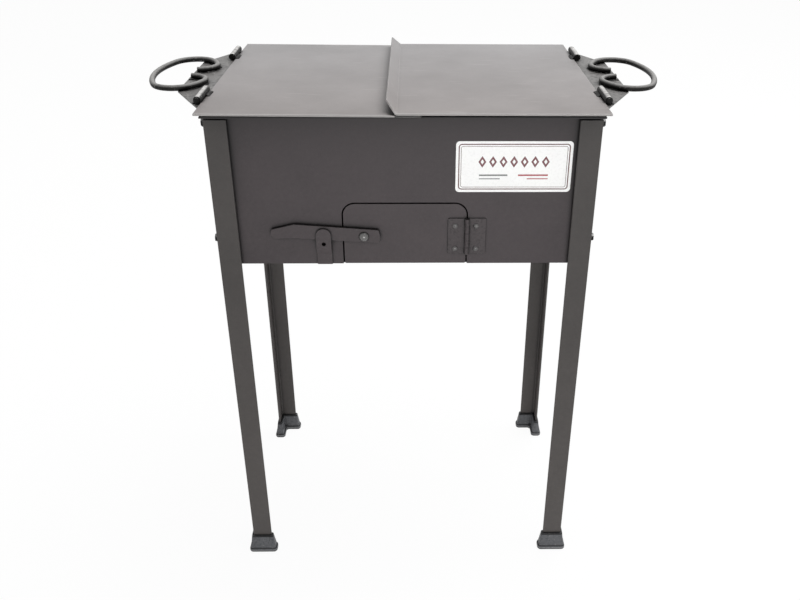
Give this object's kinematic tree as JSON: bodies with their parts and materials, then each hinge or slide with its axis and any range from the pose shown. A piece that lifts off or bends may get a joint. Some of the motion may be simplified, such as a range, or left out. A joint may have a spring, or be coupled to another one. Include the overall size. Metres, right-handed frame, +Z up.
{
  "type": "wood and charcoal barbecue",
  "caption": "Free-standing sheet-steel brazier on angle legs with two hinged lid leaves, bar carrying handles, a latched ash door and inner grates.",
  "frame": {"origin": "centre of the footprint, on the floor", "axes": "+Z up; -Y is the front with the ash door; +X to the right of a person facing the front"},
  "size_m": [0.72, 0.4064, 0.7678],
  "materials": {
    "box_steel": "satin dark grey",
    "leg_steel": "satin dark grey",
    "lid_steel": "satin grey",
    "door_steel": "satin dark grey",
    "bar_steel": "satin near black",
    "barrel_steel": "satin dark grey",
    "hinge_steel": "satin dark grey",
    "rivet_steel": "smooth",
    "zinc": "zinc plated",
    "foot_plastic": "moulded, dark blue-grey",
    "grate_iron": "raw dark steel",
    "wire_chrome": "chromed wire"
  },
  "bodies": {
    "stand_and_box": {"front_panel": "box_steel", "rear_panel": "box_steel", "left_end_panel": "box_steel", "right_end_panel": "box_steel", "firebox_floor": "box_steel", "left_handle_plate": "box_steel", "right_handle_plate": "box_steel", "front_left_leg": "leg_steel", "front_right_leg": "leg_steel", "rear_left_leg": "leg_steel", "rear_right_leg": "leg_steel", "front_left_foot": "foot_plastic", "front_right_foot": "foot_plastic", "rear_left_foot": "foot_plastic", "rear_right_foot": "foot_plastic", "leg_bolts": "zinc", "leg_washers": "zinc", "leg_nuts": "zinc", "left_handle": "bar_steel", "right_handle": "bar_steel", "left_plate_knuckles": "barrel_steel", "right_plate_knuckles": "barrel_steel", "left_hinge_pins": "barrel_steel", "right_hinge_pins": "barrel_steel", "latch_keeper": "door_steel", "door_hinge_fixed_leaf": "hinge_steel", "door_hinge_pin": "hinge_steel", "fixed_leaf_rivets": "hinge_steel", "charcoal_grate_rails": "grate_iron", "cooking_grate_rails": "grate_iron"},
    "left_leaf": {"left_lid": "lid_steel", "left_lid_knuckles": "barrel_steel"},
    "right_leaf": {"right_lid": "lid_steel", "right_lid_knuckles": "barrel_steel"},
    "door": {"ash_door": "door_steel", "door_hinge_moving_leaf": "hinge_steel", "door_leaf_rivets": "hinge_steel", "latch_rivet": "rivet_steel"},
    "latch": {"latch_lever": "door_steel"},
    "upper_grate": {"cooking_grate": "wire_chrome"},
    "lower_grate": {"charcoal_grate": "grate_iron"}
  },
  "joints": [
    {"name": "left_lid_hinge", "type": "hinge", "parent": "stand_and_box", "child": "left_leaf", "pos_m": [-0.265, 0, 0.7563], "axis": [0, -1, 0], "range_deg": [0, 180]},
    {"name": "right_lid_hinge", "type": "hinge", "parent": "stand_and_box", "child": "right_leaf", "pos_m": [0.265, 0, 0.7563], "axis": [0, 1, 0], "range_deg": [0, 179.5]},
    {"name": "door_hinge", "type": "hinge", "parent": "stand_and_box", "child": "door", "pos_m": [0.085, -0.1662, 0.57175], "axis": [0, 0, 1], "range_deg": [0, 165]},
    {"name": "latch_pivot", "type": "hinge", "parent": "door", "child": "latch", "pos_m": [-0.0562, -0.167, 0.573], "axis": [0, 1, 0], "range_deg": [0, 150]},
    {"name": "cooking_grate_lift", "type": "slide", "parent": "stand_and_box", "child": "upper_grate", "axis": [0, 0, 1], "range_m": [0, 0.02]},
    {"name": "charcoal_grate_lift", "type": "slide", "parent": "stand_and_box", "child": "lower_grate", "axis": [0, 0, 1], "range_m": [0, 0.07]}
  ]
}
